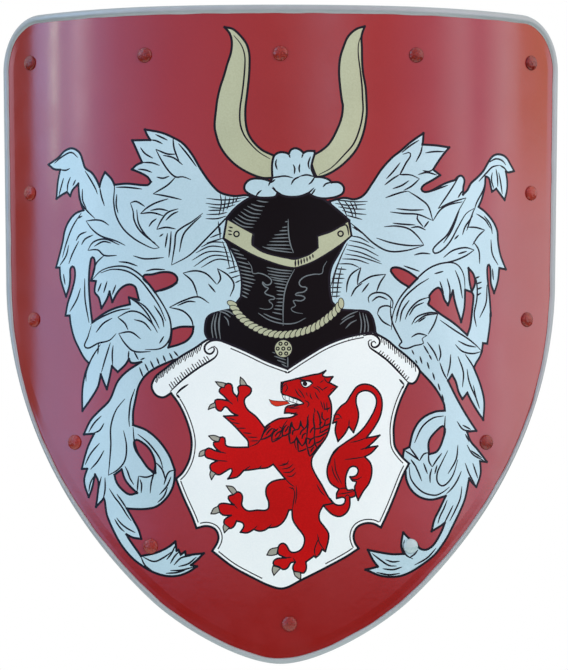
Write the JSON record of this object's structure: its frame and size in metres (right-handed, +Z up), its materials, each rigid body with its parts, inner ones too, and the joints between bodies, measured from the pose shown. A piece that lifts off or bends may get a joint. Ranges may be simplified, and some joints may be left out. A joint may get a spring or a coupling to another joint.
{
  "type": "heraldic shield",
  "caption": "Curved steel heater shield with a painted achievement of arms, bead rim, domed rivets, leather lining, padded arm straps and a buckled shoulder strap.",
  "frame": {"origin": "centre of the arm pad's back, between the two cross bars on the shield's middle line, where the bearer's forearm rests", "axes": "+X to the right of the painted face, +Y out of the back towards the bearer, +Z up to the top edge"},
  "size_m": [0.6166, 0.1229, 0.6992],
  "materials": {
    "red_enamel": "deep red gloss enamel over steel, with brushed heraldic paintwork on the sheet",
    "silver_enamel": "silver grey satin enamel",
    "rim_steel": "satin grey coating on rounded steel binding",
    "forged_iron": "dark oiled wrought iron",
    "brass": "dull brass",
    "lining_leather": "suede side out",
    "strap_leather": "oiled harness leather",
    "pad_leather": "soft stuffed leather with sewn channels"
  },
  "bodies": {
    "shield": {"shield_sheet": "red_enamel", "rim_binding": "rim_steel", "leather_lining": "lining_leather", "rivet_top_1": "red_enamel", "rivet_top_2": "red_enamel", "rivet_top_3": "red_enamel", "rivet_top_4": "red_enamel", "rivet_top_5": "red_enamel", "rivet_left_upper": "red_enamel", "rivet_left_lower": "red_enamel", "rivet_left_hip": "red_enamel", "rivet_left_flank": "red_enamel", "rivet_right_upper": "red_enamel", "rivet_right_lower": "red_enamel", "rivet_right_hip": "red_enamel", "rivet_right_flank": "silver_enamel", "rivet_tip": "red_enamel", "burr_top_1": "forged_iron", "burr_top_2": "forged_iron", "burr_top_3": "forged_iron", "burr_top_4": "forged_iron", "burr_top_5": "forged_iron", "burr_left_upper": "forged_iron", "burr_left_lower": "forged_iron", "burr_left_hip": "forged_iron", "burr_left_flank": "forged_iron", "burr_right_upper": "forged_iron", "burr_right_lower": "forged_iron", "burr_right_hip": "forged_iron", "burr_right_flank": "forged_iron", "burr_tip": "forged_iron", "cross_bar_upper": "forged_iron", "cross_bar_lower": "forged_iron", "arm_pad": "pad_leather", "elbow_strap": "strap_leather", "elbow_rivet_upper_1": "brass", "elbow_rivet_upper_2": "brass", "elbow_rivet_lower_1": "brass", "elbow_rivet_lower_2": "brass", "grip_strap": "strap_leather", "grip_rivet_upper_1": "brass", "grip_rivet_lower_1": "brass", "lug_left": "forged_iron", "lug_right": "forged_iron"},
    "left_ring": {"ring_left": "forged_iron"},
    "right_ring": {"ring_right": "forged_iron"},
    "shoulder_strap": {"guige_long_strap": "strap_leather", "guige_buckle_strap": "strap_leather", "buckle_frame": "brass", "strap_keeper": "strap_leather"},
    "prong": {"buckle_prong": "brass"}
  },
  "joints": [
    {"name": "left_ring_swing", "type": "hinge", "parent": "shield", "child": "left_ring", "pos_m": [-0.25854, 0.07652, 0.2125], "axis": [1, 0, 0], "range_deg": [-1, 60]},
    {"name": "right_ring_swing", "type": "hinge", "parent": "shield", "child": "right_ring", "pos_m": [0.25854, 0.07652, 0.2125], "axis": [1, 0, 0], "range_deg": [-1, 60]},
    {"name": "shoulder_strap_swing", "type": "hinge", "parent": "left_ring", "child": "shoulder_strap", "pos_m": [-0.25854, 0.07652, 0.1905], "axis": [1, 0, 0], "range_deg": [-1, 95]},
    {"name": "prong_lift", "type": "hinge", "parent": "shoulder_strap", "child": "prong", "pos_m": [0.25854, 0.07652, 0.1105], "axis": [1, 0, 0], "range_deg": [0, 15]}
  ],
  "couplings": [
    {"joint": "right_ring_swing", "follows": "left_ring_swing", "ratio": 1}
  ]
}
